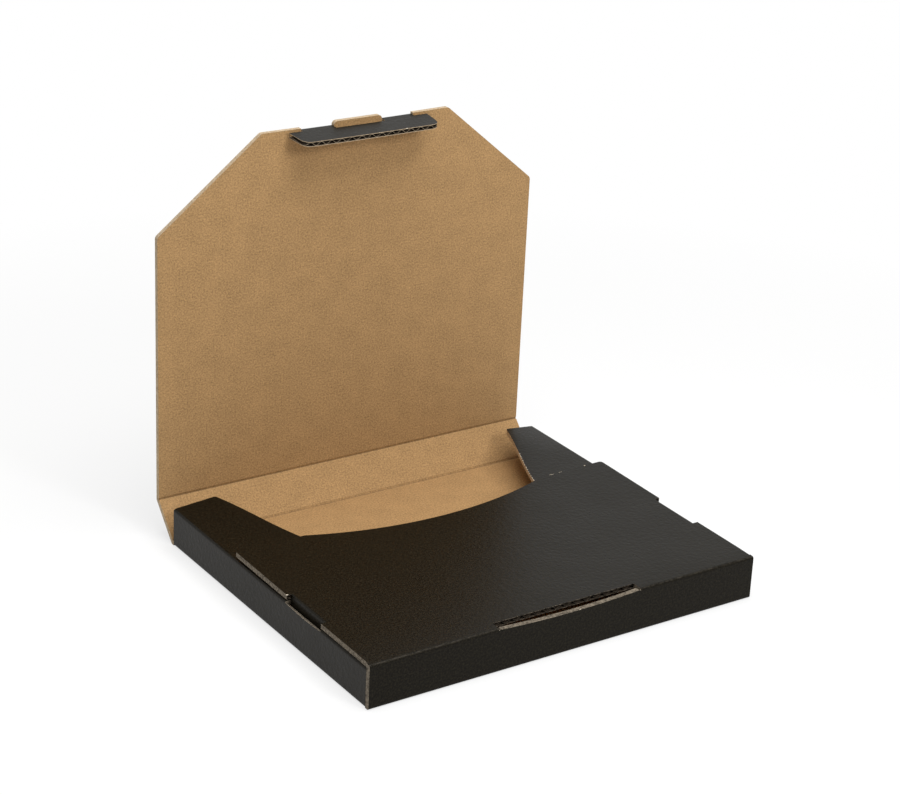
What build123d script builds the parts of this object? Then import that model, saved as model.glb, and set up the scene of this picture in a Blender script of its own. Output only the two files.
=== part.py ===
from build123d import *
from math import cos, hypot, radians, sin, tan
import os

# Letter mailer box: one die-cut sheet of corrugated board, folded into a shallow tray.
# The spine, the lid and the tuck flap turn at their creases, so each is a solid of its own.
# X runs across the box, Y from the front wall to the rear, Z up from the table.
# The origin is the middle of the tray's underside, with the box measured closed.

# Board and folds, in millimetres
board = 2.8              # thickness of the board with both liners
lay_gap = 0.3            # air between panels that lie on or beside one another
fold_radius = 1.2        # outside radius of a square fold
fold_clearance = 0.3     # running gap at a crease between two panels that turn
swing_gap = 0.15         # clearance where the tuck flap's cut edges swing past the lid
crease_fold = 90.0       # most that the spine and the lid fold, in degrees

# Box, closed
box_width = 245.0
box_depth = 210.0        # front face to the spine's outer face
cover_top = 25.5         # table to the cover's upper face

# Front cover, folded back from the front wall over the flanges
cover_length = 137.5     # front face to the cover's free edge
cover_side_inset = 0.6
cover_corner_radius = 2.0
cover_arc_chord = 158.0
cover_arc_depth = 14.0

# Flanges, folded in from the side walls
flange_rear_width = 23.0
flange_front_width = 55.0
flange_slant_length = 93.0
flange_corner_radius = 2.0

# Lock tabs on the cover's sides, and the slots that hold them
lock_tab_length = 34.5
lock_tab_centre = 65.0   # front face to the tab's middle
lock_tab_drop = 13.0     # cover's upper face to the tab's lower edge
lock_tab_taper = 4.0
lock_slot_play = 0.5
lock_slot_bulge = 1.4    # depth of the slot's curved edge in the side wall

# Slot at the front fold, for the tuck flap
tuck_slot_play = 0.6
tuck_slot_bulge = 2.2    # depth of the slot's curved edge in the front wall
tuck_slot_end_depth = 0.5

# Lid
lid_side_length = 155.5  # lid crease to the start of the cut corner
lid_front_edge = 121.0
lid_corner_radius = 3.0
lid_notch_depth = 0.9    # lid's edge past the folded flap's outer face
finger_tab_width = 31.0
finger_tab_reach = 1.5   # past the lid's front edge
finger_tab_radius = 2.2

# Tuck flap
tuck_crease_length = 72.6
tuck_root_width = 89.4
tuck_free_width = 86.6
tuck_depth = 18.7        # crease axis to the free edge
tuck_corner_radius = 5.0

# Pose in which the box stands open, in degrees
spine_lean = 43.0        # from upright, to the rear
lid_lean = -1.0          # from upright, to the rear
tuck_fold = 94.0         # from in line with the lid

half_width = box_width / 2
front_y = -box_depth / 2
rear_fold_y = box_depth / 2 - board / 2
side_top = cover_top - board - lay_gap
side_front_y = front_y + board + lay_gap
side_rear_y = rear_fold_y - board / 2 - lay_gap
side_length = side_rear_y - side_front_y
cover_edge_y = front_y + cover_length
cover_half_width = half_width - cover_side_inset
tab_face_x = half_width - board - lay_gap
tab_y = front_y + lock_tab_centre
spine_length = cover_top + lay_gap
tuck_fold_at = rear_fold_y - front_y - board - lay_gap - board / 2
lid_length = tuck_fold_at + board / 2 + lid_notch_depth
finger_tab_end = lid_length + finger_tab_reach
cut_margin = 1.0         # how far a cutting shape runs past the face that it opens
near = 0.1               # how far an edge may lie from the place where it is picked
flange_cut_z = side_top - board - cut_margin
flange_cut_height = board + 2 * cut_margin


def panel_direction(lean):
    """Unit vector along a panel that leans to the rear from upright, in degrees."""
    return Vector(0, sin(radians(lean)), cos(radians(lean)))


def section_plane(origin, lean):
    """Plane across a panel: x along the panel, y towards its inner face."""
    return Plane(origin=origin, x_dir=panel_direction(lean), z_dir=(1, 0, 0))


def face_plane(origin, lean):
    """Plane in a panel's middle: x across the box, y along the panel, z to its inner face."""
    return Plane(origin=origin, x_dir=(1, 0, 0), z_dir=panel_direction(lean - 90))


def round_fold_end(at, most_fold):
    """In a section, gives a panel's end a round outer half and a mitred inner half."""
    slope = tan(radians(most_fold / 2))
    with Locations((at, 0)):
        Circle(board / 2)
    Polygon(
        (at, 0),
        (at - board * slope, board),
        (at + board, board),
        (at + board, 0),
        align=None,
        mode=Mode.SUBTRACT,
    )


def hollow_fold_start(most_fold):
    """In a section, clears a panel's start around the round end that it turns on."""
    slope = tan(radians(most_fold / 2))
    Circle(board / 2 + fold_clearance, mode=Mode.SUBTRACT)
    Polygon(
        (fold_clearance, 0),
        (fold_clearance + board * slope, board),
        (-board, board),
        (-board, 0),
        align=None,
        mode=Mode.SUBTRACT,
    )


def curved_edge(length, end_depth, middle_depth):
    """Closed outline above a slot's curved lower edge, hanging from the x axis."""
    half = length / 2
    ThreePointArc((-half, -end_depth), (0, -middle_depth), (half, -end_depth))
    Polyline((half, -end_depth), (half, board), (-half, board), (-half, -end_depth))


# Tray: bottom, side walls and flanges have one section, a flat tube cut open on top
with BuildPart() as tray:
    with BuildSketch(Plane.XZ.offset(-side_rear_y)):
        with Locations((0, side_top / 2)):
            RectangleRounded(box_width, side_top, fold_radius)
            Rectangle(box_width - 2 * board, side_top - 2 * board, mode=Mode.SUBTRACT)
    extrude(amount=side_length)

    # Opening between the flanges: narrow under the cover, wide at the rear
    mouth_front = half_width - flange_front_width
    mouth_rear = half_width - flange_rear_width
    slant_start_y = side_rear_y - flange_slant_length
    mouth_end_y = side_rear_y + cut_margin
    with BuildSketch(Plane.XY.offset(flange_cut_z)):
        with BuildLine():
            Polyline(
                (-mouth_front, side_front_y - cut_margin),
                (-mouth_front, slant_start_y),
                (-mouth_rear, side_rear_y),
                (-mouth_rear, mouth_end_y),
                (mouth_rear, mouth_end_y),
                (mouth_rear, side_rear_y),
                (mouth_front, slant_start_y),
                (mouth_front, side_front_y - cut_margin),
                close=True,
            )
        make_face()
    extrude(amount=flange_cut_height, mode=Mode.SUBTRACT)
    fillet(
        tray.edges().filter_by(Axis.Z)
        .filter_by_position(Axis.Y, side_rear_y - near, side_rear_y + near)
        .filter_by_position(Axis.X, -mouth_rear - near, mouth_rear + near),
        radius=flange_corner_radius,
    )

    # Lock slots: they take the fold away where the cover's tabs go down
    slot_inner_x = tab_face_x - board - lay_gap
    slot_length = lock_tab_length + 2 * lock_slot_play
    for side in (-1, 1):
        with BuildSketch(Plane.XY.offset(flange_cut_z)):
            with Locations((side * (slot_inner_x + half_width - board) / 2, tab_y)):
                Rectangle(half_width - board - slot_inner_x, slot_length)
        extrude(amount=flange_cut_height, mode=Mode.SUBTRACT)
        slot_plane = Plane(
            origin=(side * (half_width - board), tab_y, side_top),
            x_dir=(0, side, 0),
            z_dir=(side, 0, 0),
        )
        with BuildSketch(slot_plane):
            with BuildLine():
                curved_edge(slot_length, lock_slot_bulge / 2, lock_slot_bulge)
            make_face()
        extrude(amount=board + cut_margin, mode=Mode.SUBTRACT)

    # Bottom's front strip, front wall and cover have one section across the box
    with BuildSketch(Plane.YZ) as front_section:
        with Locations((front_y, 0)):
            Rectangle(cover_length, cover_top, align=(Align.MIN, Align.MIN))
        fillet(front_section.vertices().group_by(Axis.X)[0], radius=fold_radius)
        with Locations((front_y + board, board)):
            Rectangle(cover_length, cover_top - 2 * board, align=(Align.MIN, Align.MIN),
                      mode=Mode.SUBTRACT)
        with Locations((side_front_y, 0)):
            Rectangle(cover_length, board, align=(Align.MIN, Align.MIN), mode=Mode.SUBTRACT)
    extrude(amount=half_width, both=True)

    # Rear strip of the bottom, up to the crease that the spine turns on
    with BuildSketch(section_plane((0, rear_fold_y, board / 2), 90)):
        Rectangle(rear_fold_y - side_rear_y, board, align=(Align.MAX, Align.CENTER))
        round_fold_end(0, crease_fold)
    extrude(amount=half_width, both=True)

    # Cover outline: free edge with its arc, side edges and tab notches
    with BuildSketch(Plane.XY.offset(cover_top - board)):
        with Locations((0, front_y + board)):
            Rectangle(box_width + 2 * cut_margin, cover_length, align=(Align.CENTER, Align.MIN))
        with BuildSketch(Plane.XY, mode=Mode.PRIVATE) as cover_outline:
            with Locations((0, front_y)):
                Rectangle(2 * cover_half_width, cover_length, align=(Align.CENTER, Align.MIN))
            fillet(cover_outline.vertices().group_by(Axis.Y)[-1], radius=cover_corner_radius)
            with BuildLine():
                half_chord = cover_arc_chord / 2
                ThreePointArc(
                    (-half_chord, cover_edge_y),
                    (0, cover_edge_y - cover_arc_depth),
                    (half_chord, cover_edge_y),
                )
                Line((half_chord, cover_edge_y), (-half_chord, cover_edge_y))
            make_face(mode=Mode.SUBTRACT)
            for side in (-1, 1):
                with Locations((side * (tab_face_x + cover_half_width) / 2, tab_y)):
                    Rectangle(cover_half_width - tab_face_x, lock_tab_length, mode=Mode.SUBTRACT)
        add(cover_outline.sketch, mode=Mode.SUBTRACT)
    extrude(amount=board, mode=Mode.SUBTRACT)

    # Lock tabs, folded down from the cover's sides
    for side in (-1, 1):
        tab_plane = Plane(
            origin=(side * (tab_face_x - board), tab_y, cover_top),
            x_dir=(0, side, 0),
            z_dir=(side, 0, 0),
        )
        with BuildSketch(tab_plane):
            with BuildLine():
                half_tab = lock_tab_length / 2
                shoulder = board + lay_gap + board
                Polyline(
                    (-half_tab, 0),
                    (-half_tab, -shoulder),
                    (lock_tab_taper - half_tab, -lock_tab_drop),
                    (half_tab - lock_tab_taper, -lock_tab_drop),
                    (half_tab, -shoulder),
                    (half_tab, 0),
                    close=True,
                )
            make_face()
        extrude(amount=board)
        fillet(
            tray.edges().filter_by(Axis.Y)
            .filter_by_position(Axis.Z, cover_top - near, cover_top + near)
            .filter_by_position(Axis.X, side * tab_face_x - near, side * tab_face_x + near)
            .filter_by_position(Axis.Y, tab_y - near, tab_y + near),
            radius=fold_radius,
        )

    # Tuck slot: a straight edge in the cover and a shallow curved edge in the front wall
    tuck_slot_length = tuck_root_width + 2 * tuck_slot_play
    tuck_slot_width = board + lay_gap + tuck_slot_play
    with BuildSketch(Plane.XY.offset(cover_top - board)):
        with Locations((0, front_y + board)):
            Rectangle(tuck_slot_length, tuck_slot_width, align=(Align.CENTER, Align.MIN))
    extrude(amount=board, mode=Mode.SUBTRACT)
    with BuildSketch(Plane.XZ.offset(-front_y - board).move(Location((0, 0, cover_top)))):
        with BuildLine():
            curved_edge(tuck_slot_length, tuck_slot_end_depth, tuck_slot_bulge)
        make_face()
    extrude(amount=board + cut_margin, mode=Mode.SUBTRACT)

# Spine: the narrow panel between the bottom and the lid
rear_crease = Vector(0, rear_fold_y, board / 2)
with BuildPart() as spine:
    with BuildSketch(section_plane(rear_crease, spine_lean)):
        Rectangle(spine_length, board, align=(Align.MIN, Align.CENTER))
        round_fold_end(spine_length, crease_fold)
        hollow_fold_start(crease_fold)
    extrude(amount=half_width, both=True)

# Lid: a full-width panel with cut corners, a finger tab and two stretches of crease
lid_crease = rear_crease + panel_direction(spine_lean) * spine_length
with BuildPart() as lid:
    with BuildSketch(section_plane(lid_crease, lid_lean)):
        Rectangle(finger_tab_end, board, align=(Align.MIN, Align.CENTER))
        hollow_fold_start(crease_fold)
    extrude(amount=half_width, both=True)
    with BuildSketch(face_plane(lid_crease, lid_lean)) as lid_outline:
        with BuildLine():
            Polyline(
                (-half_width, -board),
                (-half_width, lid_side_length),
                (-lid_front_edge / 2, lid_length),
                (lid_front_edge / 2, lid_length),
                (half_width, lid_side_length),
                (half_width, -board),
                close=True,
            )
        make_face()
        fillet(lid_outline.vertices().group_by(Axis.Y)[1:], radius=lid_corner_radius)
        with Locations((0, tuck_fold_at - board)):
            Rectangle(tuck_crease_length, 2 * board + lid_notch_depth, align=(Align.CENTER, Align.MIN),
                      mode=Mode.SUBTRACT)
        with BuildSketch(mode=Mode.PRIVATE) as finger_tab:
            with Locations((0, tuck_fold_at - board)):
                Rectangle(finger_tab_width, finger_tab_end - tuck_fold_at + board,
                          align=(Align.CENTER, Align.MIN))
            fillet(finger_tab.vertices().group_by(Axis.Y)[-1], radius=finger_tab_radius)
        add(finger_tab.sketch)
    extrude(amount=board, both=True, mode=Mode.INTERSECT)
    crease_run = (tuck_crease_length - finger_tab_width) / 2 - 2 * lay_gap
    for side in (-1, 1):
        crease_x = side * (tuck_crease_length + finger_tab_width) / 4
        with BuildSketch(section_plane(lid_crease, lid_lean).offset(crease_x)):
            with Locations((tuck_fold_at, 0)):
                Rectangle(board, board, align=(Align.MAX, Align.CENTER))
            round_fold_end(tuck_fold_at, tuck_fold)
        extrude(amount=crease_run / 2, both=True)

# Tuck flap: hangs on the two stretches of crease beside the finger tab
tuck_crease = lid_crease + panel_direction(lid_lean) * tuck_fold_at
tuck_lean = lid_lean - tuck_fold
ear_start = hypot(lid_length - tuck_fold_at, board / 2) + swing_gap
finger_notch_end = hypot(finger_tab_end - tuck_fold_at, board / 2) + swing_gap
with BuildPart() as tuck_flap:
    with BuildSketch(section_plane(tuck_crease, tuck_lean)):
        Rectangle(tuck_depth, board, align=(Align.MIN, Align.CENTER))
        hollow_fold_start(tuck_fold)
    extrude(amount=tuck_root_width / 2, both=True)
    with BuildSketch(face_plane(tuck_crease, tuck_lean)) as tuck_outline:
        with BuildLine():
            Polyline(
                (-tuck_crease_length / 2 + lay_gap, -board),
                (-tuck_crease_length / 2 + lay_gap, ear_start),
                (-tuck_root_width / 2, ear_start),
                (-tuck_free_width / 2, tuck_depth),
                (tuck_free_width / 2, tuck_depth),
                (tuck_root_width / 2, ear_start),
                (tuck_crease_length / 2 - lay_gap, ear_start),
                (tuck_crease_length / 2 - lay_gap, -board),
                close=True,
            )
        make_face()
        fillet(tuck_outline.vertices().group_by(Axis.Y)[-1], radius=tuck_corner_radius)
        with Locations((0, -board)):
            Rectangle(finger_tab_width + 2 * lay_gap, finger_notch_end + board,
                      align=(Align.CENTER, Align.MIN), mode=Mode.SUBTRACT)
    extrude(amount=board, both=True, mode=Mode.INTERSECT)

os.makedirs("parts", exist_ok=True)
tray.part.label = "tray"
export_step(tray.part, "parts/tray.step")
spine.part.label = "spine"
export_step(spine.part, "parts/spine.step")
lid.part.label = "lid"
export_step(lid.part, "parts/lid.step")
tuck_flap.part.label = "tuck_flap"
export_step(tuck_flap.part, "parts/tuck_flap.step")
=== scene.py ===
from math import cos, exp, hypot, pi, radians, sin, tan

import bpy
import numpy as np
from mathutils import Matrix, Vector
from mathutils.geometry import delaunay_2d_cdt


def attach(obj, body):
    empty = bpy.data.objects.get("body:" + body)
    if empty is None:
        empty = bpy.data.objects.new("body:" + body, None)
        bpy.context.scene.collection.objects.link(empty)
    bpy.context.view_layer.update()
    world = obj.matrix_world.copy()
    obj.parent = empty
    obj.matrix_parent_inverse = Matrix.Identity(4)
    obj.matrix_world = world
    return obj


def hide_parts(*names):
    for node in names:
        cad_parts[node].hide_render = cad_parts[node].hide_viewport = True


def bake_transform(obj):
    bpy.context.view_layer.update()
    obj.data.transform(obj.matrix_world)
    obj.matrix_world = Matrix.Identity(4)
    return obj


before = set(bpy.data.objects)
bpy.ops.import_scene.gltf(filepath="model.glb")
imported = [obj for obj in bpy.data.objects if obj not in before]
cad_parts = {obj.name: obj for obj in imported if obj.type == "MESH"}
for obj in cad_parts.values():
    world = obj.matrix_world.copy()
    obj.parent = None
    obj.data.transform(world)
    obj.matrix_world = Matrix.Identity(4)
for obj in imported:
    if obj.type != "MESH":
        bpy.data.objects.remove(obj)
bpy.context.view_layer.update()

MM = 0.001

# The board, in millimetres: two liners and a wave-shaped medium between them
BOARD = 2.8
LINER = 0.3
MEDIUM = 0.22
FLUTE_PITCH = 6.4
WAVE_HEIGHT = BOARD / 2 - LINER - MEDIUM / 2
WAVE_STEPS = 10
OUTER_FACE = -BOARD / 2
INNER_FACE = BOARD / 2

# The folded sheet, in millimetres, in the same frame as the CAD
HALF_WIDTH = 122.5
FRONT_Y = -105.0
COVER_TOP = 25.5
SIDE_TOP = 22.4
SIDE_FRONT_Y = -101.9
SIDE_REAR_Y = 101.9
COVER_EDGE_Y = 32.5
COVER_HALF_WIDTH = 121.9
COVER_CORNER_RADIUS = 2.0
COVER_ARC_HALF = 79.0
COVER_ARC_DEPTH = 14.0
FLANGE_REAR_WIDTH = 23.0
FLANGE_FRONT_WIDTH = 55.0
FLANGE_SLANT_LENGTH = 93.0
FLANGE_CORNER_RADIUS = 2.0
TAB_FACE_X = 119.4
TAB_Y = -40.0
TAB_LENGTH = 34.5
TAB_DROP = 13.0
TAB_TAPER = 4.0
LOCK_SLOT_LENGTH = 35.5
LOCK_SLOT_INNER_X = 116.3
LOCK_SLOT_BULGE = 1.4
TUCK_SLOT_LENGTH = 90.6
TUCK_SLOT_REAR_Y = -98.5
TUCK_SLOT_BULGE = 2.2
TUCK_SLOT_END_DEPTH = 0.5
SLOT_END = 0.8           # over this length the fold begins beside the slot
LID_SIDE_LENGTH = 155.5
LID_LENGTH = 206.4
LID_FRONT_EDGE = 121.0
LID_CORNER_RADIUS = 3.0
FINGER_TAB_WIDTH = 31.0
FINGER_TAB_END = 207.9
FINGER_TAB_RADIUS = 2.2
TUCK_FOLD_AT = 204.1
TUCK_CREASE_LENGTH = 72.6
TUCK_ROOT_WIDTH = 89.4
TUCK_FREE_WIDTH = 86.6
TUCK_DEPTH = 18.7
TUCK_CORNER_RADIUS = 5.0
TUCK_EAR_START = 2.84
TUCK_NOTCH_END = 4.2
CUT_GAP = 0.3

# The creases, seen from the side: a point of the axis as (y, z), and the panels' leans
SPINE_LENGTH = 25.8
REAR_LEAN = 90.0
SPINE_LEAN = 43.0
LID_LEAN = -1.0
TUCK_LEAN = -95.0
REAR_CREASE = (103.6, 1.4)

# Folds
FOLD_REACH = 3.05        # how far a square fold reaches into its panels
FOLD_RADIUS = 1.2
CREASE_REACH = 1.6       # how far a crease between two bodies reaches into its panels
CREASE_GROOVE = 1.15     # height of the pressed groove's floor above the crease's axis
FOLD_STEPS = 10
GRID = 10.0              # spacing of the lines that let the panels warp
ROUND_STEPS = 6
ARC_STEPS = 24
SMOOTH_ANGLE = 50.0      # edges sharper than this stay sharp, in degrees
TINY = 1e-6              # a point nearer to the middle line than this lies on it
CUT_TOLERANCE = 1e-5
VALID_FACES = 4          # cuts along every line and gives faces that a mesh can hold

# Warps: the closed lid still lies clear of the cover, because its sides curl away from it
LID_CURL = 0.0172        # how far the lid's sides lean back, per length from the crease
COVER_LIFT = 1.4         # rise of the cover's rear corners
COVER_LIFT_POWER = 1.6   # how steeply that rise grows towards the rear
COVER_SHARE_END = 1.01   # what lies past the cover's free edge isn't lifted
COVER_SAG = 0.45         # dip of the cover at the front fold
COVER_SAG_LENGTH = 7.0
FLANGE_LIFT = 2.1        # rise of the flanges' inner rear corners
FLANGE_LIFT_START = 6.0  # how far behind the cover's edge the flanges begin to rise
FLANGE_SHIFT = 3.0       # how far the flanges' inner rear corners stand to the right
WARP_MARGIN = 1.0        # slack in telling which panel a point lies on
FLANGE_MARGIN = 0.1      # the same under the flanges

# Wear, with a painted highlight on the front fold and painted shade in the crease line
RUB_HIGHLIGHT_ABOVE = 0.4          # how far the rubbed line on the front fold, partly a painted highlight, lies up on the cover
RUB_HIGHLIGHT_HALF = 0.7
RUB_HIGHLIGHT_SHARE = 0.55
CREASE_LINE_CORE = 0.05  # half widths of the darker crease line, crushed and partly painted shade, as shares of the crease strip
CREASE_LINE_HALF = 0.28
TUFT_SIDES = 6
TUFT_HEIGHT = 0.12
TUFT_UNEVEN = (0.6, 1.4)
TUFT_SUNK = 0.25         # how far under the printed face the fibres of the tuck slot lie
TUFT_ACROSS = (1.6, 1.0)  # how far torn fibres stretch across the sheet and along it
TUFT_STREAK = (16.0, 1.0)
TUFT_ALONG = (0.8, 2.4)
FLANGE_TUFTS = 14
FLANGE_TUFT_START = 0.28  # share of the slanted edge, from its front end
FLANGE_TUFT_STEP = 0.029
FLANGE_TUFT_SIZE = 0.34
TUCK_TUFT = (21.0, TUCK_DEPTH)
TUCK_TUFT_SIZE = 0.45
FLANGE_SEED = 20
TUCK_SEED = 40

# Relief of the faces, in millimetres
GRAIN_RELIEF = 0.004
FLUTE_RELIEF = 0.012
INK_GRAIN_RELIEF = 0.14
INK_FLUTE_RELIEF = 0.003

# Colours, linear
KRAFT = (0.385, 0.232, 0.101)
KRAFT_DARK = 0.44        # the grain runs between these two times the liner's shade
KRAFT_LIGHT = 1.52
# the crease line's shade, times the liner's: crushed fibre and partly painted shade in the groove
KRAFT_CREASE_SHADE = 0.35
# painted shade: the medium and the liners' hidden faces are darkened for the shade inside the board
FLUTE_SHADE_COLOUR = (0.05, 0.037, 0.025)
KRAFT_SPECK = (0.17, 0.10, 0.045, 1.0)
KRAFT_FIBRE = (0.62, 0.45, 0.27, 1.0)
INK_DEEP = (0.0006, 0.0005, 0.0002, 1.0)
INK_THIN = (0.0140, 0.0120, 0.0068, 1.0)
# rubbed ink and painted highlight along the front fold
INK_RUBBED_HIGHLIGHT = (0.06, 0.052, 0.042, 1.0)
INK_TINT = (1.0, 0.88, 0.72, 1.0)
EDGE_COLOURS = {
    "pale_edge": ((0.37, 0.28, 0.18), (0.54, 0.42, 0.285)),
    # painted shade: a darker, greyer cut edge for the slots, tabs, walls' ends and the cover's
    # sides, which lie in shade
    "shaded_edge": ((0.075, 0.062, 0.047), (0.22, 0.185, 0.14)),
    # painted shade with pale specks: the liners' cut edge where the cover's edges cross the flutes
    "shaded_open_edge": ((0.010, 0.008, 0.006), (0.21, 0.175, 0.135)),
    "flute_edge": ((0.15, 0.118, 0.08), (0.32, 0.255, 0.18)),
    # painted shade: the hollows of the open flutes
    "shaded_flute_hollow": ((0.012, 0.010, 0.008), (0.05, 0.042, 0.032)),
    "torn_fibres": ((0.50, 0.43, 0.33), (0.72, 0.64, 0.52)),
}

# Stage and camera, in metres, with the lens and sensor in millimetres
FLOOR_HALF = 6.0
FLOOR_DROP = 0.0003      # how far the floor lies under the box
FLOOR_SHADE = (0.92, 0.92, 0.92, 1.0)
FLOOR_FADE_START = 0.25  # between these distances the floor fades to white
FLOOR_FADE_END = 0.65
FLOOR_WHITE_SHARE = 0.72  # share of white nearer than that
WORLD_STRENGTH = 0.34
CAMERA_AZIMUTH = radians(-34.553)
CAMERA_ELEVATION = radians(22.905)
CAMERA_ROLL = radians(2.624)
CAMERA_DISTANCE = 1.30729
CAMERA_AIM = (0.014289, 0.035179, 0.087756)
CAMERA_LENS = 94.484
SENSOR_WIDTH = 36.0


# Places in space

def panel_frame(lean):
    """Direction along a panel and towards its inner face, as (y, z) pairs."""
    along = (sin(radians(lean)), cos(radians(lean)))
    inward = (-cos(radians(lean)), sin(radians(lean)))
    return along, inward


def along_panel(point, lean, distance):
    along, _ = panel_frame(lean)
    return (point[0] + along[0] * distance, point[1] + along[1] * distance)


LID_CREASE = along_panel(REAR_CREASE, SPINE_LEAN, SPINE_LENGTH)
TUCK_CREASE = along_panel(LID_CREASE, LID_LEAN, TUCK_FOLD_AT)


def square_bend(past, w):
    """A point on a sheet with a square fold: its place along the first panel, and inward."""
    depth = w + BOARD / 2
    if past <= -FOLD_REACH:
        return past, depth
    if past >= FOLD_REACH:
        return -depth, past
    share = (past + FOLD_REACH) / (2 * FOLD_REACH)
    straight = FOLD_REACH - FOLD_RADIUS
    walked = share * (2 * straight + FOLD_RADIUS * pi / 2)
    turn = min(max((walked - straight) / FOLD_RADIUS, 0.0), pi / 2)
    before = min(walked, straight)
    after = max(walked - straight - FOLD_RADIUS * pi / 2, 0.0)
    outer = (
        before - FOLD_REACH + FOLD_RADIUS * sin(turn),
        FOLD_RADIUS * (1 - cos(turn)) + after,
    )
    radius = FOLD_REACH - BOARD
    angle = share * pi / 2
    inner = (radius * sin(angle) - FOLD_REACH, FOLD_REACH - radius * cos(angle))
    mix = depth / BOARD
    return outer[0] + (inner[0] - outer[0]) * mix, outer[1] + (inner[1] - outer[1]) * mix


def place_main(u, v, w):
    """Bottom, front wall and cover; the wall stays straight where the slot cuts the fold."""
    past_front = FRONT_Y - v
    if 0 < COVER_TOP - past_front < FOLD_REACH and abs(u) < TUCK_SLOT_LENGTH / 2 - SLOT_END:
        return u, FRONT_Y + w + BOARD / 2, past_front
    if past_front < COVER_TOP / 2:
        p, q = square_bend(past_front, w)
        return u, FRONT_Y - p, q
    p, q = square_bend(past_front - COVER_TOP, w)
    return u, FRONT_Y + q, COVER_TOP + p


def place_side(u, v, w):
    """Side wall and flange, on the side that u is on."""
    side = 1 if u > 0 else -1
    past_bottom = abs(u) - HALF_WIDTH
    if past_bottom < SIDE_TOP / 2:
        p, q = square_bend(past_bottom, w)
        return side * (HALF_WIDTH + p), v, q
    p, q = square_bend(past_bottom - SIDE_TOP, w)
    return side * (HALF_WIDTH - q), v, SIDE_TOP + p


def place_tab(u, v, w):
    """Lock tab, folded down from the cover."""
    side = 1 if u > 0 else -1
    p, q = square_bend(abs(u) - TAB_FACE_X, w)
    return side * (TAB_FACE_X + p), cover_y(v), COVER_TOP - q


def lift_cover(x, y, z):
    """The cover's rear corners stand up a little, and it dips at the front fold."""
    height = min(max(z / COVER_TOP, 0.0), 1.0)
    if y < COVER_EDGE_Y + WARP_MARGIN:
        z -= COVER_SAG * exp((FRONT_Y - y) / COVER_SAG_LENGTH) * height
    share = max(y - FRONT_Y - FOLD_REACH, 0.0) / (COVER_EDGE_Y - FRONT_Y - FOLD_REACH)
    if z < BOARD + WARP_MARGIN or share > COVER_SHARE_END:
        return x, y, z
    return x, y, z + COVER_LIFT * (abs(x) / COVER_HALF_WIDTH) ** 2 * share ** COVER_LIFT_POWER


def lift_flange(x, y, z):
    """The flanges' inner rear corners stand up a little, and to the right."""
    if z < SIDE_TOP - BOARD - FLANGE_MARGIN:
        return x, y, z
    inward = min((HALF_WIDTH - abs(x)) / FLANGE_REAR_WIDTH, 1.0)
    past_cover = COVER_EDGE_Y + FLANGE_LIFT_START
    share = min(max((y - past_cover) / (SIDE_REAR_Y - past_cover), 0.0), 1.0)
    share = inward * share * share * (3 - 2 * share)
    return x + FLANGE_SHIFT * share, y, z + FLANGE_LIFT * share


def lid_curl(u, v):
    """How far the lid leans back at a place on it."""
    return LID_CURL * v * (u / HALF_WIDTH) ** 2


def curl_with_lid(u, v):
    """Shift of the lid at a place on it, as (y, z)."""
    _, inward = panel_frame(LID_LEAN)
    return -inward[0] * lid_curl(u, v), -inward[1] * lid_curl(u, v)


def curl_with_lid_front(u, v):
    """Shift of what hangs on the lid's front edge."""
    return curl_with_lid(u, TUCK_FOLD_AT)


def stay(u, v):
    return 0.0, 0.0


def cover_v(y):
    """Place on the flat sheet of a line across the cover."""
    return FRONT_Y - COVER_TOP - (y - FRONT_Y)


def cover_y(v):
    return FRONT_Y - (v - FRONT_Y + COVER_TOP)


def place_panel(crease, lean, shift):
    """Places a flat panel that starts at a crease."""
    along, inward = panel_frame(lean)

    def place(u, v, w):
        dy, dz = shift(u, v)
        y = crease[0] + along[0] * v + inward[0] * w + dy
        z = crease[1] + along[1] * v + inward[1] * w + dz
        return u, y, z

    return place


def crease_lines(crease, lean_from, lean_to):
    """Outer and inner lines through a crease, each a function of the share of the way."""
    along_a, in_a = (np.array(x) for x in panel_frame(lean_from))
    along_b, in_b = (np.array(x) for x in panel_frame(lean_to))
    axis = np.array(crease)
    fold = radians(lean_from - lean_to)
    half = BOARD / 2
    arc = half * fold
    length = 2 * CREASE_REACH + arc

    def outer(share):
        walked = share * length
        if walked < CREASE_REACH:
            return axis - along_a * (CREASE_REACH - walked) - in_a * half
        if walked > CREASE_REACH + arc:
            return axis + along_b * (walked - CREASE_REACH - arc) - in_b * half
        turn = (walked - CREASE_REACH) / half
        return axis - in_a * half * cos(turn) + along_a * half * sin(turn)

    first = axis - along_a * CREASE_REACH + in_a * half
    last = axis + along_b * CREASE_REACH + in_b * half
    bisector = (in_a + in_b) / np.linalg.norm(in_a + in_b)
    floor = axis + bisector * CREASE_GROOVE
    control = 2 * floor - (first + last) / 2

    def inner(share):
        return first * (1 - share) ** 2 + control * 2 * share * (1 - share) + last * share ** 2

    return outer, inner


def place_crease(crease, leans, shift):
    """Places a crease strip; v runs from 0 to 1 through the crease."""
    outer, inner = crease_lines(crease, *leans)

    def place(u, v, w):
        mix = (w + BOARD / 2) / BOARD
        y, z = outer(v) * (1 - mix) + inner(v) * mix
        dy, dz = shift(u, v)
        return u, y + dy, z + dz

    return place


# Flat outlines

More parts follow.
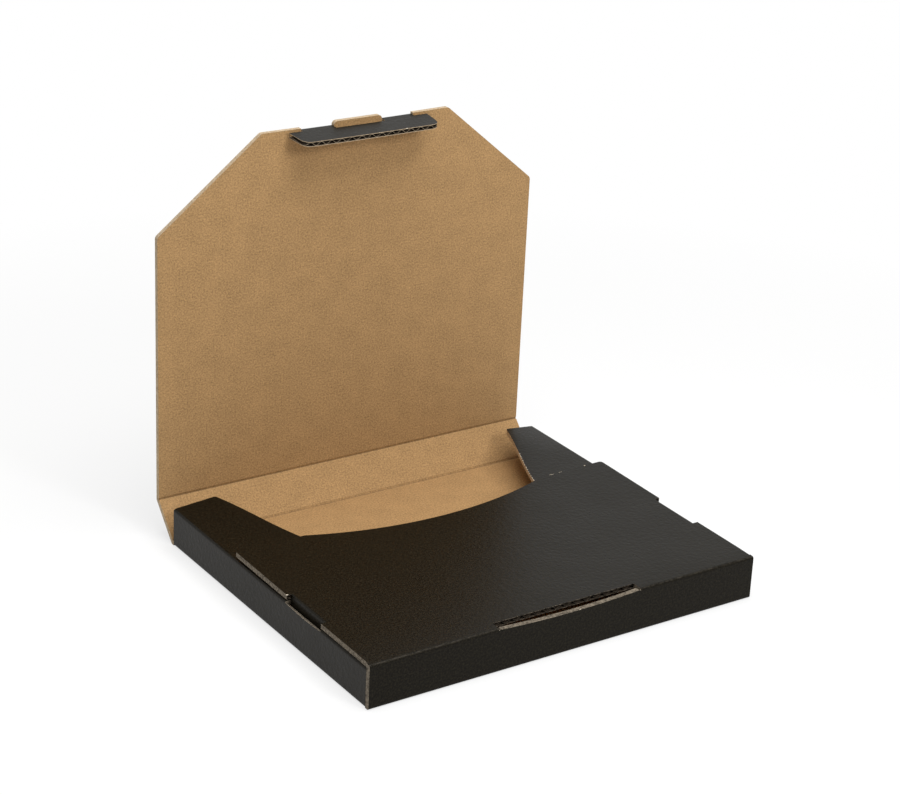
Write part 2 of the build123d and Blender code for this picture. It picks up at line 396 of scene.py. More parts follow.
def rounded(corners, radii):
    """A closed outline through corners, some of them rounded."""
    line = []
    count = len(corners)
    for i, corner in enumerate(corners):
        radius = radii.get(i, 0.0)
        here = Vector(corner)
        if not radius:
            line.append(tuple(here))
            continue
        to_last = (Vector(corners[i - 1]) - here).normalized()
        to_next = (Vector(corners[(i + 1) % count]) - here).normalized()
        half_angle = to_last.angle(to_next) / 2
        centre = here + (to_last + to_next).normalized() * radius / sin(half_angle)
        start = (here + to_last * radius / tan(half_angle) - centre).normalized()
        end = (here + to_next * radius / tan(half_angle) - centre).normalized()
        for k in range(ROUND_STEPS + 1):
            line.append(tuple(centre + start.slerp(end, k / ROUND_STEPS) * radius))
    return line


def mirrored(right_half):
    """A closed outline from its right half, which runs from the middle to the middle."""
    left = [(-u, v) for u, v in reversed(right_half) if abs(u) > TINY]
    return right_half + left


def arc_through(half_chord, ends, middle):
    """Points of a shallow arc across the sheet, from its right end to its left end."""
    sag = middle - ends
    radius = (half_chord ** 2 + sag ** 2) / (2 * abs(sag))
    centre = middle - radius if sag > 0 else middle + radius
    points = []
    for k in range(ARC_STEPS + 1):
        u = half_chord * (1 - 2 * k / ARC_STEPS)
        rise = (radius ** 2 - u ** 2) ** 0.5
        points.append((u, centre + rise if sag > 0 else centre - rise))
    return points


def main_outline():
    rear = REAR_CREASE[0] - CREASE_REACH
    join = HALF_WIDTH - FOLD_REACH
    tab_join = TAB_FACE_X - FOLD_REACH
    inset_v = cover_v(FRONT_Y + BOARD)
    tab_front = cover_v(TAB_Y - TAB_LENGTH / 2)
    tab_rear = cover_v(TAB_Y + TAB_LENGTH / 2)
    edge = cover_v(COVER_EDGE_Y)
    corner = rounded(
        [(0, edge), (COVER_HALF_WIDTH, edge), (COVER_HALF_WIDTH, inset_v)],
        {1: COVER_CORNER_RADIUS},
    )[1:-1]
    arc = arc_through(COVER_ARC_HALF, edge, cover_v(COVER_EDGE_Y - COVER_ARC_DEPTH))
    right = [
        (0, rear),
        (HALF_WIDTH, rear),
        (HALF_WIDTH, SIDE_REAR_Y),
        (join, SIDE_REAR_Y),
        (join, SIDE_FRONT_Y),
        (HALF_WIDTH, SIDE_FRONT_Y),
        (HALF_WIDTH, inset_v),
        (COVER_HALF_WIDTH, inset_v),
        (COVER_HALF_WIDTH, tab_front),
        (tab_join, tab_front),
        (tab_join, tab_rear),
        (COVER_HALF_WIDTH, tab_rear),
    ]
    right += list(reversed(corner))
    right += [p for p in arc if p[0] > TINY] + [(0, cover_v(COVER_EDGE_Y - COVER_ARC_DEPTH))]
    return mirrored(right)


def tuck_slot_hole():
    top = FRONT_Y - COVER_TOP
    half = TUCK_SLOT_LENGTH / 2
    rear = cover_v(TUCK_SLOT_REAR_Y)
    edge = arc_through(half, top + TUCK_SLOT_END_DEPTH, top + TUCK_SLOT_BULGE)
    return edge + [(-half, rear), (half, rear)]


def side_outline(side):
    join = HALF_WIDTH - FOLD_REACH
    top = HALF_WIDTH + SIDE_TOP
    line = rounded(
        [
            (join, SIDE_FRONT_Y),
            (top + FLANGE_FRONT_WIDTH, SIDE_FRONT_Y),
            (top + FLANGE_FRONT_WIDTH, SIDE_REAR_Y - FLANGE_SLANT_LENGTH),
            (top + FLANGE_REAR_WIDTH, SIDE_REAR_Y),
            (join, SIDE_REAR_Y),
        ],
        {3: FLANGE_CORNER_RADIUS},
    )
    return [(side * u, v) for u, v in line]


def lock_slot_hole(side):
    top = HALF_WIDTH + SIDE_TOP
    half = LOCK_SLOT_LENGTH / 2
    curve = arc_through(half, top - LOCK_SLOT_BULGE / 2, top - LOCK_SLOT_BULGE)
    line = [(v, TAB_Y + u) for u, v in curve]
    inner = top + HALF_WIDTH - LOCK_SLOT_INNER_X
    line += [(inner, TAB_Y - half), (inner, TAB_Y + half)]
    return [(side * u, v) for u, v in line]


def tab_outline(side):
    join = TAB_FACE_X - FOLD_REACH
    shoulder = TAB_FACE_X + 2 * BOARD + CUT_GAP
    end = TAB_FACE_X + TAB_DROP
    middle = cover_v(TAB_Y)
    half = TAB_LENGTH / 2
    line = [
        (join, middle - half),
        (shoulder, middle - half),
        (end, middle - half + TAB_TAPER),
        (end, middle + half - TAB_TAPER),
        (shoulder, middle + half),
        (join, middle + half),
    ]
    return [(side * u, v) for u, v in line]


def lid_outline():
    start = CREASE_REACH
    run_end = TUCK_CREASE_LENGTH / 2 - CUT_GAP / 2
    run_start = FINGER_TAB_WIDTH / 2 + CUT_GAP
    fold = TUCK_FOLD_AT - CREASE_REACH
    outer = rounded(
        [
            (HALF_WIDTH, start),
            (HALF_WIDTH, LID_SIDE_LENGTH),
            (LID_FRONT_EDGE / 2, LID_LENGTH),
            (TUCK_CREASE_LENGTH / 2, LID_LENGTH),
        ],
        {1: LID_CORNER_RADIUS, 2: LID_CORNER_RADIUS},
    )
    tab = rounded(
        [
            (FINGER_TAB_WIDTH / 2, fold),
            (FINGER_TAB_WIDTH / 2, FINGER_TAB_END),
            (0, FINGER_TAB_END),
        ],
        {1: FINGER_TAB_RADIUS},
    )
    right = [(0, start)] + outer
    right += [
        (TUCK_CREASE_LENGTH / 2, fold - CUT_GAP),
        (run_end, fold - CUT_GAP),
        (run_end, fold),
        (run_start, fold),
        (run_start, fold - CUT_GAP),
        (FINGER_TAB_WIDTH / 2, fold - CUT_GAP),
    ]
    right += tab[1:]
    return mirrored(right)


def tuck_outline():
    run_end = TUCK_CREASE_LENGTH / 2 - CUT_GAP
    run_start = FINGER_TAB_WIDTH / 2 + CUT_GAP
    free = rounded(
        [
            (TUCK_ROOT_WIDTH / 2, TUCK_EAR_START),
            (TUCK_FREE_WIDTH / 2, TUCK_DEPTH),
            (0, TUCK_DEPTH),
        ],
        {1: TUCK_CORNER_RADIUS},
    )
    right = [
        (0, TUCK_NOTCH_END),
        (run_start, TUCK_NOTCH_END),
        (run_start, CREASE_REACH),
        (run_end, CREASE_REACH),
        (run_end, TUCK_EAR_START),
    ]
    return mirrored(right + free)


def strip_outline(u_low, u_high):
    return [(u_low, 0.0), (u_high, 0.0), (u_high, 1.0), (u_low, 1.0)]


# Meshing

def inside(points, loops):
    """Which points lie inside the first loop and outside the rest, by crossings."""
    x, y = points[:, 0], points[:, 1]
    crossings = np.zeros(len(points), int)
    for loop in loops:
        a = np.array(loop)
        b = np.roll(a, -1, axis=0)
        for (ax, ay), (bx, by) in zip(a, b):
            if ay == by:
                continue
            spans = (ay > y) != (by > y)
            crossings += spans & (x < ax + (y - ay) * (bx - ax) / (by - ay))
    return crossings % 2 == 1


def cut_sheet(loops, across, along):
    """Meshes a flat outline with holes, crossed by lines at the given places."""
    points, edges = [], []
    for loop in loops:
        first = len(points)
        points += loop
        edges += [(first + i, first + (i + 1) % len(loop)) for i in range(len(loop))]
    u = [p[0] for p in loops[0]]
    v = [p[1] for p in loops[0]]
    for line in across:
        if min(u) < line < max(u):
            edges.append((len(points), len(points) + 1))
            points += [(line, min(v)), (line, max(v))]
    for line in along:
        if min(v) < line < max(v):
            edges.append((len(points), len(points) + 1))
            points += [(min(u), line), (max(u), line)]
    out = delaunay_2d_cdt([Vector(p) for p in points], edges, [], VALID_FACES, CUT_TOLERANCE)
    flat = [tuple(p) for p in out[0]]
    faces = [list(f) for f in out[2]]
    centres = np.array([np.mean([flat[i] for i in f], axis=0) for f in faces])
    keep = inside(centres, loops)
    kept = [f for f, k in zip(faces, keep) if k]
    used = sorted({i for f in kept for i in f})
    number = {old: new for new, old in enumerate(used)}
    return [flat[i] for i in used], [[number[i] for i in f] for f in kept]


def grid_lines(low, high, spacing):
    count = max(2, round((high - low) / spacing))
    return [low + (high - low) * k / count for k in range(count + 1)]


def fold_lines(corner):
    return [corner - FOLD_REACH + 2 * FOLD_REACH * k / FOLD_STEPS for k in range(FOLD_STEPS + 1)]


def wave_lines(low, high):
    step = FLUTE_PITCH / WAVE_STEPS
    first = int(low / step) - 1
    return [k * step for k in range(first, int(high / step) + 2)]


def wave(u):
    """Middle of the medium at u, and half its thickness measured through the board."""
    angle = 2 * pi * u / FLUTE_PITCH
    slope = WAVE_HEIGHT * 2 * pi / FLUTE_PITCH * cos(angle)
    return WAVE_HEIGHT * sin(angle), MEDIUM / 2 * hypot(1, slope)


def liner_faces(inner):
    """Depths of a liner's two faces as functions of u, the printed or inner one first."""
    face = INNER_FACE if inner else OUTER_FACE
    back = face - LINER if inner else face + LINER
    return (lambda u: face), (lambda u: back)


CRUSHED_DEPTHS = (liner_faces(False)[1], liner_faces(True)[1])

# Kinds of cut edge: the die crushes the flutes flat, or leaves them open; the shaded kinds take a
# darker edge colour, which is painted shade
RIM_PALE, RIM_SHADED, RIM_OPEN, RIM_OPEN_SHADED = 2, 3, 4, 5
ACROSS_SLOPE = 0.3       # an edge flatter than this runs across the flutes
FLANGE_EDGE_PAST = 10.0  # the flange's free edges lie farther than this past its fold


def rim_pale(a, b):
    return RIM_PALE


def rim_open(a, b):
    return RIM_OPEN


def rim_shaded(a, b):
    return RIM_SHADED


def rim_main(a, b):
    """The cover's edges that run across the flutes are open, and their darker edge colour is
    painted shade.
    """
    across = abs(b[1] - a[1]) < ACROSS_SLOPE * abs(b[0] - a[0])
    return RIM_OPEN_SHADED if across and a[1] < FRONT_Y - COVER_TOP else RIM_SHADED


def rim_side(a, b):
    """The flanges' free edges are paler than the slots and the walls' ends, whose darker edge is
    painted shade.
    """
    free = abs(a[0]) > HALF_WIDTH + SIDE_TOP + FLANGE_EDGE_PAST
    return RIM_PALE if free else RIM_SHADED


def medium_faces():
    """Depths of the medium's two faces as functions of u, held between the liners."""
    def low(u):
        middle, half = wave(u)
        return max(middle - half, OUTER_FACE + LINER)

    def high(u):
        middle, half = wave(u)
        return min(middle + half, INNER_FACE - LINER)

    return low, high


class Layer:
    """Gathers the mesh of one layer of the board."""

    def __init__(self, name):
        self.name = name
        self.points = []
        self.faces = []
        self.marks = []
        self.flat = []

    def add_face(self, corners, mark):
        self.faces.append(corners)
        self.marks.append(mark)

    def add_point(self, place, warp, flat, depth):
        point = place(*flat, depth)
        self.points.append(warp(*point) if warp else point)
        self.flat.append(flat)
        return len(self.points) - 1

    def add_sheet(self, sheet, place, depths, warp, rim_kind, fluted=False):
        """Adds a cut sheet between two depths, with a rim along its edges.

        Where the flutes are crushed, the rim fills the board from liner to liner.
        """
        flat, faces = sheet
        sides = []
        for depth in depths:
            sides.append(len(self.points))
            for u, v in flat:
                self.add_point(place, warp, (u, v), depth(u))
        for f in faces:
            self.add_face([sides[0] + i for i in f], 0)
            self.add_face([sides[1] + i for i in reversed(f)], 1)
        edges = {}
        for f in faces:
            for a, b in zip(f, f[1:] + f[:1]):
                edges[(a, b)] = edges.get((a, b), 0) + 1
        for a, b in edges:
            if (b, a) in edges:
                continue
            kind = rim_kind(flat[a], flat[b])
            first, second = CRUSHED_DEPTHS if fluted and kind < RIM_OPEN else depths
            corners = ((a, first), (b, first), (b, second), (a, second))
            rim = [self.add_point(place, warp, flat[i], depth(flat[i][0])) for i, depth in corners]
            self.add_face(rim[::-1], kind)

    def add_tuft(self, place, warp, flat, size, stretch, seed, sunk=0.0):
        """Adds a torn tuft of paper fibres: a small uneven lump."""
        uneven = np.random.default_rng(seed).uniform(*TUFT_UNEVEN, TUFT_SIDES + 2)
        across, along = flat
        depth = OUTER_FACE + sunk
        start = len(self.points)
        self.add_point(place, warp, flat, depth - TUFT_HEIGHT * uneven[-1])
        self.add_point(place, warp, flat, depth + TUFT_HEIGHT * uneven[-2])
        for k in range(TUFT_SIDES):
            turn = 2 * pi * k / TUFT_SIDES
            reach = size * uneven[k]
            spot = (across + stretch[0] * reach * cos(turn), along + stretch[1] * reach * sin(turn))
            self.add_point(place, warp, spot, depth)
        for k in range(TUFT_SIDES):
            first = start + 2 + k
            second = start + 2 + (k + 1) % TUFT_SIDES
            self.add_face([start, second, first], 0)
            self.add_face([start + 1, first, second], 0)

    def build(self, materials):
        """Makes the object; marks 0 and 1 are the first face and the second, the rest rims."""
        mesh = bpy.data.meshes.new(self.name)
        scaled = [tuple(c * MM for c in p) for p in self.points]
        mesh.from_pydata(scaled, [], self.faces)
        for material in materials:
            mesh.materials.append(material)
        slots = [min(mark, len(materials) - 1) for mark in self.marks]
        mesh.polygons.foreach_set("material_index", slots)
        layer = mesh.uv_layers.new(name="die")
        flat = np.array(self.flat) * MM
        vertex = np.zeros(len(mesh.loops), int)
        mesh.loops.foreach_get("vertex_index", vertex)
        layer.data.foreach_set("uv", flat[vertex].astype(np.float32).ravel())
        mesh.update()
        mesh.shade_smooth()
        mesh.set_sharp_from_angle(angle=radians(SMOOTH_ANGLE))
        piece = bpy.data.objects.new(self.name, mesh)
        bpy.context.scene.collection.objects.link(piece)
        return piece


# Materials

class Nodes:
    """Short way to write a material's nodes."""

    def __init__(self, name):
        self.material = bpy.data.materials.new(name)
        self.material.use_nodes = True
        self.tree = self.material.node_tree
        self.tree.nodes.clear()

    def node(self, kind, values=None, links=None, **settings):
        made = self.tree.nodes.new(kind)
        for key, value in settings.items():
            setattr(made, key, value)
        for key, value in (values or {}).items():
            made.inputs[key].default_value = value
        for key, source in (links or {}).items():
            self.tree.links.new(source, made.inputs[key])
        return made

    def math(self, operation, a, b=None):
        made = self.tree.nodes.new("ShaderNodeMath")
        made.operation = operation
        for index, value in enumerate((a, b)):
            if value is None:
                continue
            if isinstance(value, (int, float)):
                made.inputs[index].default_value = value
            else:
                self.tree.links.new(value, made.inputs[index])
        return made.outputs[0]

    def mix(self, share, a, b):
        made = self.tree.nodes.new("ShaderNodeMix")
        made.data_type = "RGBA"
        for index, value in ((0, share), (6, a), (7, b)):
            if isinstance(value, (int, float, tuple)):
                made.inputs[index].default_value = value
            else:
                self.tree.links.new(value, made.inputs[index])
        return made.outputs[2]

    def flat_place(self, stretch=(1.0, 1.0, 1.0)):
        """Place on the flat sheet in metres, with its axes stretched."""
        die = self.node("ShaderNodeUVMap", uv_map="die")
        scaled = self.node("ShaderNodeMapping", {"Scale": stretch}, {"Vector": die.outputs[0]})
        return scaled.outputs[0]

    def noise(self, size, detail=2.0, roughness=0.5, stretch=(1.0, 1.0, 1.0)):
        """Noise whose grains are about size millimetres across."""
        made = self.node(
            "ShaderNodeTexNoise",
            {"Scale": 1 / (size * MM), "Detail": detail, "Roughness": roughness},
            {"Vector": self.flat_place(stretch)},
        )
        return made.outputs[0]

    def solid_noise(self, size, detail, roughness):
        """Noise through the board, for its cut edges."""
        place = self.node("ShaderNodeTexCoord")
        made = self.node(
            "ShaderNodeTexNoise",
            {"Scale": 1 / (size * MM), "Detail": detail, "Roughness": roughness},
            {"Vector": place.outputs["Object"]},
        )
        return made.outputs[0]

    def ramp(self, value, low, high, to_low=0.0, to_high=1.0):
        made = self.node("ShaderNodeMapRange", {1: low, 2: high, 3: to_low, 4: to_high}, {0: value})
        return made.outputs[0]

    def flute_wave(self):
        """The flutes that show faintly through a liner: a wave across the sheet."""
        split = self.node("ShaderNodeSeparateXYZ", {}, {0: self.flat_place()})
        turns = self.math("MULTIPLY", split.outputs[0], 2 * pi / (FLUTE_PITCH * MM))
        return self.math("SINE", turns)

    def fold_rub_highlight(self):
        """Where the ink is rubbed thin on the front wall's upper fold, partly a painted highlight
        on the bend.
        """
        split = self.node("ShaderNodeSeparateXYZ", {}, {0: self.flat_place()})
        past = self.math("ADD", split.outputs[1], (COVER_TOP - FRONT_Y + RUB_HIGHLIGHT_ABOVE) * MM)
        near = self.ramp(self.math("ABSOLUTE", past), RUB_HIGHLIGHT_HALF * MM, 0.0, 0.0, RUB_HIGHLIGHT_SHARE)
        return self.math("MULTIPLY", near, self.ramp(self.noise(2.5, 3.0, 0.7), 0.42, 0.62))

    def crease_line(self, depth):
        """Share of the darker line in the middle of a crease strip: crushed fibre and partly
        painted shade.
        """
        split = self.node("ShaderNodeSeparateXYZ", {}, {0: self.flat_place()})
        off = self.math("ABSOLUTE", self.math("SUBTRACT", split.outputs[1], MM / 2))
        return self.ramp(off, CREASE_LINE_CORE * MM, CREASE_LINE_HALF * MM, depth, 0.0)

    def finish(self, shader):
        self.node("ShaderNodeOutputMaterial", {}, {"Surface": shader})
        return self.material


def kraft_liner(name="kraft_liner", shade=KRAFT, flute_depth=FLUTE_RELIEF, crease_shade=0.0):
    """Unbleached liner: brown, matt, with fibres and specks, and darker along the crease line,
    partly as painted shade.
    """
    n = Nodes(name)
    dark = tuple(c * KRAFT_DARK for c in shade) + (1.0,)
    light = tuple(min(c * KRAFT_LIGHT, 1.0) for c in shade) + (1.0,)
    grain = n.noise(1.0, 4.0, 0.75)
    colour = n.mix(n.ramp(grain, 0.28, 0.72), dark, light)
    cloud = n.noise(14.0, 3.0, 0.6)
    colour = n.mix(0.10, colour, n.mix(n.ramp(cloud, 0.35, 0.65), dark, light))
    fibre = n.noise(0.55, 2.0, 0.6, (1.0, 0.22, 1.0))
    specks = n.ramp(fibre, 0.63, 0.74, 0.0, 0.45)
    colour = n.mix(specks, colour, KRAFT_SPECK)
    pale_fibre = n.noise(0.5, 2.0, 0.6, (0.25, 1.0, 1.0))
    colour = n.mix(n.ramp(pale_fibre, 0.66, 0.76, 0.0, 0.35), colour, KRAFT_FIBRE)
    # a darker line along the crease: crushed fibre and partly painted shade
    if crease_shade:
        creased = tuple(c * KRAFT_CREASE_SHADE for c in shade) + (1.0,)
        colour = n.mix(n.crease_line(crease_shade), colour, creased)
    rough = n.ramp(grain, 0.3, 0.7, 0.78, 0.92)
    relief = n.math("MULTIPLY", grain, GRAIN_RELIEF)
    height = n.math("ADD", relief, n.math("MULTIPLY", n.flute_wave(), flute_depth))
    bump = n.node("ShaderNodeBump", {"Strength": 1.0, "Distance": MM}, {"Height": height})
    shader = n.node(
        "ShaderNodeBsdfPrincipled",
        {"Specular IOR Level": 0.25},
        {"Base Color": colour, "Roughness": rough, "Normal": bump.outputs[0]},
    )
    return n.finish(shader.outputs[0])


def black_print():
    """Satin black ink on the outer liner, with the liner's grain under it."""
    n = Nodes("black_print")
    grain = n.noise(1.1, 3.0, 0.65)
    cloud = n.noise(22.0, 2.0, 0.5)
    colour = n.mix(n.ramp(grain, 0.44, 0.70), INK_DEEP, INK_THIN)
    # lighter line along the front fold: rubbed ink and painted highlight
    colour = n.mix(n.fold_rub_highlight(), colour, INK_RUBBED_HIGHLIGHT)
    uneven = n.ramp(cloud, 0.3, 0.7, -0.02, 0.02)
    rough = n.math("ADD", n.ramp(grain, 0.35, 0.65, 0.29, 0.47), uneven)
    relief = n.math("MULTIPLY", n.noise(2.6, 2.0, 0.6), INK_GRAIN_RELIEF)
    height = n.math("ADD", relief, n.math("MULTIPLY", n.flute_wave(), INK_FLUTE_RELIEF))
    bump = n.node("ShaderNodeBump", {"Strength": 1.0, "Distance": MM}, {"Height": height})
    shader = n.node(
        "ShaderNodeBsdfPrincipled",
        {"Specular IOR Level": 0.12, "Specular Tint": INK_TINT},
        {"Base Color": colour, "Roughness": rough, "Normal": bump.outputs[0]},
    )
    return n.finish(shader.outputs[0])


def raw_edge(name):
    """Die-cut edge of the paper: rougher than the liner's face, in one of the edge colours."""
    n = Nodes(name)
    dark, light = EDGE_COLOURS[name]
    grain = n.solid_noise(1.4, 3.0, 0.65)
    colour = n.mix(n.ramp(grain, 0.38, 0.62), dark + (1.0,), light + (1.0,))
    shader = n.node(
        "ShaderNodeBsdfPrincipled",
        {"Specular IOR Level": 0.15, "Roughness": 0.92},
        {"Base Color": colour},
    )
    return n.finish(shader.outputs[0])


# Pieces

def layers(name):
    """The three layers of a piece of board, still empty."""
    return {part: Layer(f"{name}_{part}") for part in ("outer_liner", "medium", "inner_liner")}


def add_to_layers(made, loops, place, u_lines, v_lines, warp=None, rim_kind=rim_pale):
    """Cuts one sheet for the liners and one for the medium, and adds all three layers."""
    liner = cut_sheet(loops, u_lines, v_lines)
    made["outer_liner"].add_sheet(liner, place, liner_faces(False), warp, rim_kind)
    made["inner_liner"].add_sheet(flipped(liner), place, liner_faces(True), warp, rim_kind)
    u = [p[0] for p in loops[0]]
    fluted = cut_sheet(loops, wave_lines(min(u), max(u)), v_lines)
    made["medium"].add_sheet(fluted, place, medium_faces(), warp, rim_kind, fluted=True)


def flipped(sheet):
    flat, faces = sheet
    return flat, [f[::-1] for f in faces]


def build_tray(finish):
    made = layers("tray")
    slot_end = TUCK_SLOT_LENGTH / 2
    main_u = grid_lines(-HALF_WIDTH, HALF_WIDTH, GRID)
    main_u += [-slot_end, SLOT_END - slot_end, slot_end - SLOT_END, slot_end]
    main_v = fold_lines(FRONT_Y) + fold_lines(FRONT_Y - COVER_TOP)
    main_v += grid_lines(cover_v(COVER_EDGE_Y), cover_v(FRONT_Y + FOLD_REACH), GRID)
    main_v += grid_lines(FRONT_Y + FOLD_REACH, SIDE_REAR_Y, 3 * GRID)
    loops = [main_outline(), tuck_slot_hole()]
    add_to_layers(made, loops, place_main, main_u, main_v, lift_cover, rim_main)
    for side in (-1, 1):
        top = HALF_WIDTH + SIDE_TOP
        u_lines = fold_lines(HALF_WIDTH) + fold_lines(top)
        u_lines += grid_lines(top + FOLD_REACH, top + FLANGE_FRONT_WIDTH, GRID)
        v_lines = grid_lines(SIDE_FRONT_Y, SIDE_REAR_Y, GRID)
        loops = [side_outline(side), lock_slot_hole(side)]
        u_lines = [side * u for u in u_lines]
        add_to_layers(made, loops, place_side, u_lines, v_lines, lift_flange, rim_side)
        tab_u = [side * u for u in fold_lines(TAB_FACE_X)]
        add_to_layers(made, [tab_outline(side)], place_tab, tab_u, [], lift_cover, rim_shaded)
    finish_layers(made, finish, "tray", "tray")


def finish_layers(made, finish, body, node):
    """Makes the layers' objects, which ride the body and replace the node."""
    for part, layer in made.items():
        piece = layer.build(finish[part])
        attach(piece, body)
        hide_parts(node)


def build_panel(name, outline, crease, lean, length, finish, shift=stay, rim_kind=rim_pale):
    """A flat panel that starts at a crease."""
    made = layers(name)
    u_lines = grid_lines(-HALF_WIDTH, HALF_WIDTH, GRID)
    v_lines = grid_lines(0, length, GRID)
    place = place_panel(crease, lean, shift)
    add_to_layers(made, [outline], place, u_lines, v_lines, None, rim_kind)
    finish_layers(made, finish, name, name)


def build_crease(name, runs, crease, leans, finish, shift=stay):
    """Strips of both liners and the medium, which bend as the crease turns."""
    made = layers(name)
    place = place_crease(crease, leans, shift)
    stations = [k / FOLD_STEPS for k in range(FOLD_STEPS + 1)]
    for low, high in runs:
        u_lines = grid_lines(low, high, GRID)
        add_to_layers(made, [strip_outline(low, high)], place, u_lines, stations)
    for part, layer in made.items():
        piece = layer.build(finish[part])
        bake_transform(piece)


def build_tufts(fibres):
    """Torn fibres where the photo shows pale specks along the cuts."""
    tab_ends = [cover_v(TAB_Y + side * TAB_LENGTH / 2) for side in (-1, 1)]
    slot_front = FRONT_Y - COVER_TOP + TUCK_SLOT_BULGE
    edge = cover_v(COVER_EDGE_Y)
    # Place across and along the flat sheet, size, stretch and depth under the printed face
    on_cover = [
        (-COVER_HALF_WIDTH + 0.1, tab_ends[1], 0.5, TUFT_ACROSS, 0.0),
        (-TUCK_SLOT_LENGTH / 2, slot_front - 1.6, 0.4, TUFT_ACROSS, TUFT_SUNK / 2),
        (TUCK_SLOT_LENGTH / 2, slot_front - 1.6, 0.4, TUFT_ACROSS, TUFT_SUNK / 2),
        (6.0, slot_front, 0.6, TUFT_ACROSS, TUFT_SUNK),
        (86.0, edge + 0.2, 0.13, TUFT_STREAK, 0.0),
        (92.0, edge + 0.2, 0.09, TUFT_STREAK, 0.0),
        (110.0, edge + 0.1, 0.35, TUFT_ACROSS, 0.0),
    ]
    lumps = Layer("tray_torn_fibres")
    for number, (u, v, size, stretch, sunk) in enumerate(on_cover):
        lumps.add_tuft(place_main, lift_cover, (u, v), size, stretch, number, sunk)
    fold = HALF_WIDTH + SIDE_TOP
    for number in range(FLANGE_TUFTS):
        share = FLANGE_TUFT_START + FLANGE_TUFT_STEP * number
        width = FLANGE_FRONT_WIDTH + (FLANGE_REAR_WIDTH - FLANGE_FRONT_WIDTH) * share
        v = SIDE_REAR_Y - FLANGE_SLANT_LENGTH * (1 - share)
        spot = (fold + width, v)
        seed = FLANGE_SEED + number
        lumps.add_tuft(place_side, lift_flange, spot, FLANGE_TUFT_SIZE, TUFT_ALONG, seed)
    piece = lumps.build([fibres])
    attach(piece, "tray")
    lumps = Layer("tuck_flap_torn_fibres")
    place = place_panel(TUCK_CREASE, TUCK_LEAN, curl_with_lid_front)
    lumps.add_tuft(place, None, TUCK_TUFT, TUCK_TUFT_SIZE, TUFT_ACROSS, TUCK_SEED)
    piece = lumps.build([fibres])
    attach(piece, "tuck_flap")


def make_finish():
    """Materials of each layer: its two faces, then the kinds of cut edge."""
    kraft = kraft_liner()
    # the fluting material is painted shade inside the board, not the paper's own brown
    shaded_fluting = kraft_liner("shaded_fluting", FLUTE_SHADE_COLOUR, 0.0)
    pale = raw_edge("pale_edge")
    dark = raw_edge("shaded_edge")
    open_edge_shade = raw_edge("shaded_open_edge")
    flute = raw_edge("flute_edge")
    flute_hollow_shade = raw_edge("shaded_flute_hollow")
    black = black_print()
    return {
        "outer_liner": [black, shaded_fluting, pale, dark, pale, open_edge_shade],
        "medium": [shaded_fluting, shaded_fluting, pale, dark, flute, flute_hollow_shade],
        "inner_liner": [kraft, shaded_fluting, pale, dark, pale, open_edge_shade],
    }


def spine_outline():
    low, high = CREASE_REACH, SPINE_LENGTH - CREASE_REACH
    return [(-HALF_WIDTH, low), (HALF_WIDTH, low), (HALF_WIDTH, high), (-HALF_WIDTH, high)]


def build_panels(finish):
    build_panel("spine", spine_outline(), REAR_CREASE, SPINE_LEAN, SPINE_LENGTH, finish)
    build_panel("lid", lid_outline(), LID_CREASE, LID_LEAN, LID_LENGTH, finish, curl_with_lid)
    build_panel(
        "tuck_flap",
        tuck_outline(),
        TUCK_CREASE,
        TUCK_LEAN,
        TUCK_DEPTH,
        finish,
        curl_with_lid_front,
        rim_open,
    )


def build_creases(finish):
    full = [(-HALF_WIDTH, HALF_WIDTH)]
    rear_leans = (REAR_LEAN, SPINE_LEAN)
    build_crease("rear_crease", full, REAR_CREASE, rear_leans, finish)
    build_crease("lid_crease", full, LID_CREASE, (SPINE_LEAN, LID_LEAN), finish)
    low = FINGER_TAB_WIDTH / 2 + CUT_GAP
    high = TUCK_CREASE_LENGTH / 2 - CUT_GAP
    build_crease(
        "tuck_crease",
        [(-high, -low), (low, high)],
        TUCK_CREASE,
        (LID_LEAN, TUCK_LEAN),
        finish,
        curl_with_lid_front,
    )


def build_object():
    finish = make_finish()
    build_tray(finish)
    build_tufts(raw_edge("torn_fibres"))
    build_panels(finish)
    # the creases' inner liner carries the darker line, partly painted shade
    finish["inner_liner"][0] = kraft_liner("creased_shaded_liner", crease_shade=0.6)
    build_creases(finish)


# Stage, light and camera

def white_for_view(n, shader, share):
    """Adds white, where the camera or a reflection looks, to the given share."""
    rays = n.node("ShaderNodeLightPath")
    seen = n.math("MAXIMUM", rays.outputs["Is Camera Ray"], rays.outputs["Is Glossy Ray"])
    seen = n.math("MAXIMUM", seen, rays.outputs["Is Transmission Ray"])
    white = n.node("ShaderNodeEmission", {"Color": (1.0, 1.0, 1.0, 1.0), "Strength": 1.0})
    mixed = n.node("ShaderNodeMixShader")
    n.tree.links.new(n.math("MULTIPLY", share, seen), mixed.inputs[0])
    n.tree.links.new(shader, mixed.inputs[1])
    n.tree.links.new(white.outputs[0], mixed.inputs[2])
    return mixed.outputs[0]


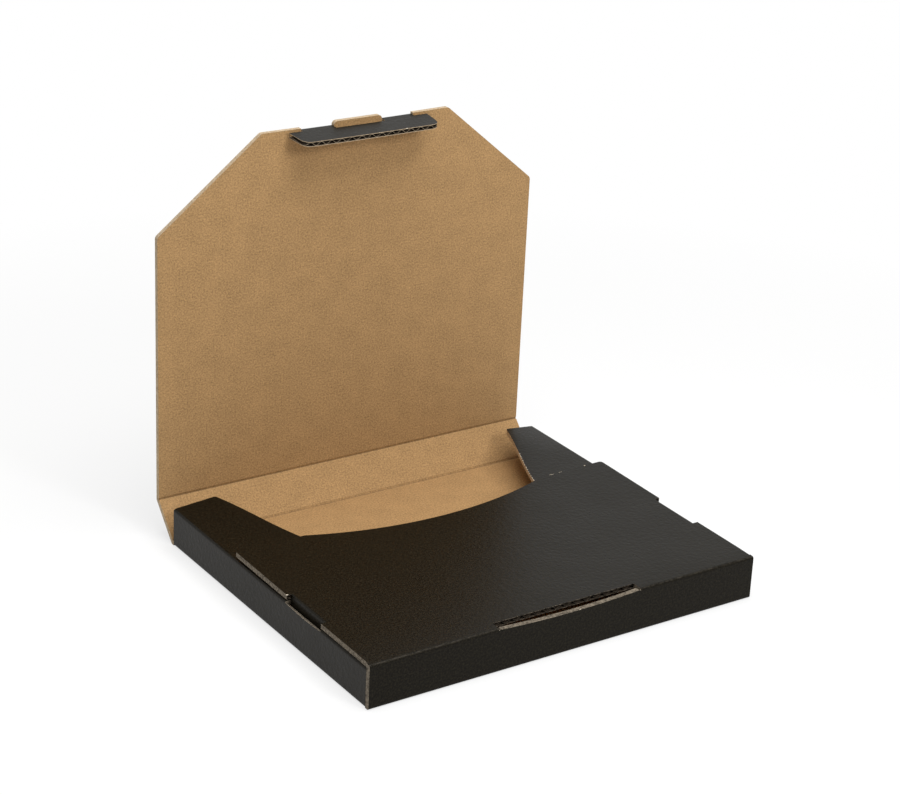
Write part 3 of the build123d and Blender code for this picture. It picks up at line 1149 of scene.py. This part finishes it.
def build_floor():
    """A floor that shows the box's shadow and fades to white away from it."""
    mesh = bpy.data.meshes.new("floor")
    signs = ((-1, -1), (1, -1), (1, 1), (-1, 1))
    corners = [(x * FLOOR_HALF, y * FLOOR_HALF, -FLOOR_DROP) for x, y in signs]
    mesh.from_pydata(corners, [], [(0, 1, 2, 3)])
    n = Nodes("floor")
    diffuse = n.node("ShaderNodeBsdfDiffuse", {"Color": FLOOR_SHADE})
    place = n.node("ShaderNodeTexCoord")
    away = n.node("ShaderNodeVectorMath", {}, {0: place.outputs["Object"]}, operation="LENGTH")
    distance = away.outputs["Value"]
    share = n.ramp(distance, FLOOR_FADE_START, FLOOR_FADE_END, FLOOR_WHITE_SHARE, 1.0)
    mesh.materials.append(n.finish(white_for_view(n, diffuse.outputs[0], share)))
    floor = bpy.data.objects.new("floor", mesh)
    bpy.context.scene.collection.objects.link(floor)


def build_world():
    """Soft light from all round, which the camera and reflections see as white."""
    world = bpy.data.worlds.new("studio")
    bpy.context.scene.world = world
    world.use_nodes = True
    tree = world.node_tree
    tree.nodes.clear()
    rays = tree.nodes.new("ShaderNodeLightPath")
    first = tree.nodes.new("ShaderNodeMath")
    first.operation = "MAXIMUM"
    seen = tree.nodes.new("ShaderNodeMath")
    seen.operation = "MAXIMUM"
    tree.links.new(rays.outputs["Is Camera Ray"], first.inputs[0])
    tree.links.new(rays.outputs["Is Glossy Ray"], first.inputs[1])
    tree.links.new(first.outputs[0], seen.inputs[0])
    tree.links.new(rays.outputs["Is Transmission Ray"], seen.inputs[1])
    light = tree.nodes.new("ShaderNodeBackground")
    light.inputs["Color"].default_value = (1.0, 0.99, 0.97, 1.0)
    light.inputs["Strength"].default_value = WORLD_STRENGTH
    white = tree.nodes.new("ShaderNodeBackground")
    white.inputs["Color"].default_value = (1.0, 1.0, 1.0, 1.0)
    white.inputs["Strength"].default_value = 1.0
    mixed = tree.nodes.new("ShaderNodeMixShader")
    output = tree.nodes.new("ShaderNodeOutputWorld")
    tree.links.new(seen.outputs[0], mixed.inputs[0])
    tree.links.new(light.outputs[0], mixed.inputs[1])
    tree.links.new(white.outputs[0], mixed.inputs[2])
    tree.links.new(mixed.outputs[0], output.inputs["Surface"])


def add_lamp(name, place, aim, size, power):
    data = bpy.data.lights.new(name, "AREA")
    data.shape = "DISK"
    data.size = size
    data.energy = power
    lamp = bpy.data.objects.new(name, data)
    lamp.location = place
    direction = Vector(aim) - Vector(place)
    lamp.rotation_euler = direction.to_track_quat("-Z", "Y").to_euler()
    bpy.context.scene.collection.objects.link(lamp)


def build_camera():
    back = Vector((
        sin(CAMERA_AZIMUTH) * cos(CAMERA_ELEVATION),
        -cos(CAMERA_AZIMUTH) * cos(CAMERA_ELEVATION),
        sin(CAMERA_ELEVATION),
    ))
    right = (-back).cross(Vector((0, 0, 1))).normalized()
    up = right.cross(-back)
    turned_right = right * cos(CAMERA_ROLL) + up * sin(CAMERA_ROLL)
    turned_up = up * cos(CAMERA_ROLL) - right * sin(CAMERA_ROLL)
    data = bpy.data.cameras.new("camera")
    data.lens = CAMERA_LENS
    data.sensor_width = SENSOR_WIDTH
    camera = bpy.data.objects.new("camera", data)
    turn = Matrix((turned_right, turned_up, back)).transposed().to_4x4()
    camera.matrix_world = Matrix.Translation(Vector(CAMERA_AIM) + back * CAMERA_DISTANCE) @ turn
    bpy.context.scene.collection.objects.link(camera)
    bpy.context.scene.camera = camera


build_object()
build_floor()
build_world()
add_lamp("overhead", place=(0.0, -0.14, 1.0), aim=(0.0, 0.02, 0.1), size=0.9, power=9.2)
add_lamp("key", place=(0.2, -1.0, 0.8), aim=(0.0, 0.0, 0.1), size=0.3, power=5.1)
build_camera()
bpy.context.scene.view_settings.view_transform = "Standard"
